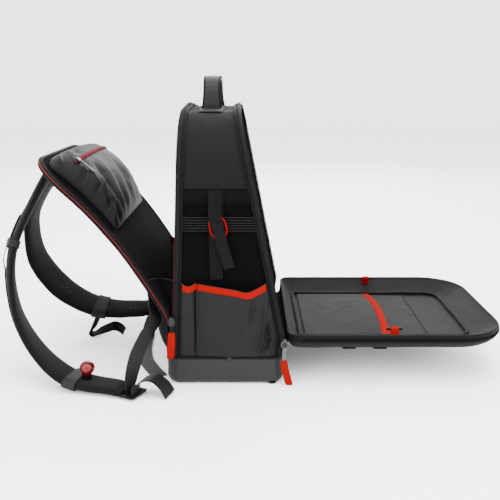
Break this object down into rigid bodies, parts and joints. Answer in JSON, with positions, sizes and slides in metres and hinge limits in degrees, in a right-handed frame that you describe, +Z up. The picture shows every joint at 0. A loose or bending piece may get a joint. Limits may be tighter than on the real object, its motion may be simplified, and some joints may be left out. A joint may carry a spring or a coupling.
{
  "type": "tool backpack",
  "caption": "Open-top style tool backpack standing on a moulded base, front lid folded down flat, padded back panel unzipped and leaning back, shoulder straps looping to the floor.",
  "frame": {"origin": "middle of the underside of the moulded base, on the floor", "axes": "+X to the front of the bag, where the lid lies open; +Y to its far side; +Z up"},
  "size_m": [0.8145, 0.4046, 0.47],
  "materials": {
    "cloth": "charcoal woven cloth",
    "dark_cloth": "black cloth, ribbed where elastic",
    "webbing": "dark grey woven webbing",
    "mesh_cloth": "black air mesh over foam",
    "binding": "black bound edge",
    "moulded_base": "satin dark grey moulding",
    "red_cloth": "bright red cloth and rubber",
    "red_coil": "crimson zip coil",
    "red_gloss": "glossy crimson",
    "black_plastic": "black moulded plastic",
    "slider_metal": "dark nickel"
  },
  "bodies": {
    "root": {"back_pad": "mesh_cloth", "back_panel": "cloth", "back_pocket": "cloth", "base_tray": "moulded_base", "base_trim": "binding", "divider": "dark_cloth", "front_foot_panel": "dark_cloth", "handle_patch_far": "webbing", "handle_patch_near": "webbing", "lid_hinge": "dark_cloth", "lid_piping": "binding", "lid_pocket_binding": "red_cloth", "lid_pocket_lower": "cloth", "lid_pocket_upper": "cloth", "lid_shell": "cloth", "lid_toggle_bar_far": "black_plastic", "lid_toggle_bar_near": "black_plastic", "lid_toggle_tab_far": "red_cloth", "lid_toggle_tab_near": "red_cloth", "lid_webbing_1": "webbing", "lid_webbing_2": "webbing", "lid_zip": "black_plastic", "lumbar_pad": "mesh_cloth", "pocket_zip": "red_coil", "pull_tab_back": "red_cloth", "pull_tab_front": "red_cloth", "rim_back": "binding", "rim_front": "binding", "side_band": "cloth", "side_elastic_far": "dark_cloth", "side_elastic_near": "dark_cloth", "side_pocket_binding_far": "red_cloth", "side_pocket_binding_near": "red_cloth", "side_pocket_far": "cloth", "side_pocket_near": "cloth", "side_ring": "red_cloth", "side_tape_far": "dark_cloth", "side_tape_near": "dark_cloth", "side_webbing": "webbing", "slider_back": "slider_metal", "slider_front": "slider_metal", "strap_far": "mesh_cloth", "strap_far_band": "webbing", "strap_far_buckle": "black_plastic", "strap_far_chest_webbing": "webbing", "strap_far_tail": "webbing", "strap_far_webbing": "webbing", "strap_near": "mesh_cloth", "strap_near_band": "webbing", "strap_near_buckle": "black_plastic", "strap_near_knob": "red_gloss", "strap_near_webbing": "webbing", "top_handle": "webbing", "zip_back_body": "red_coil", "zip_back_panel": "red_coil", "zip_front_body": "black_plastic"}
  },
  "joints": []
}
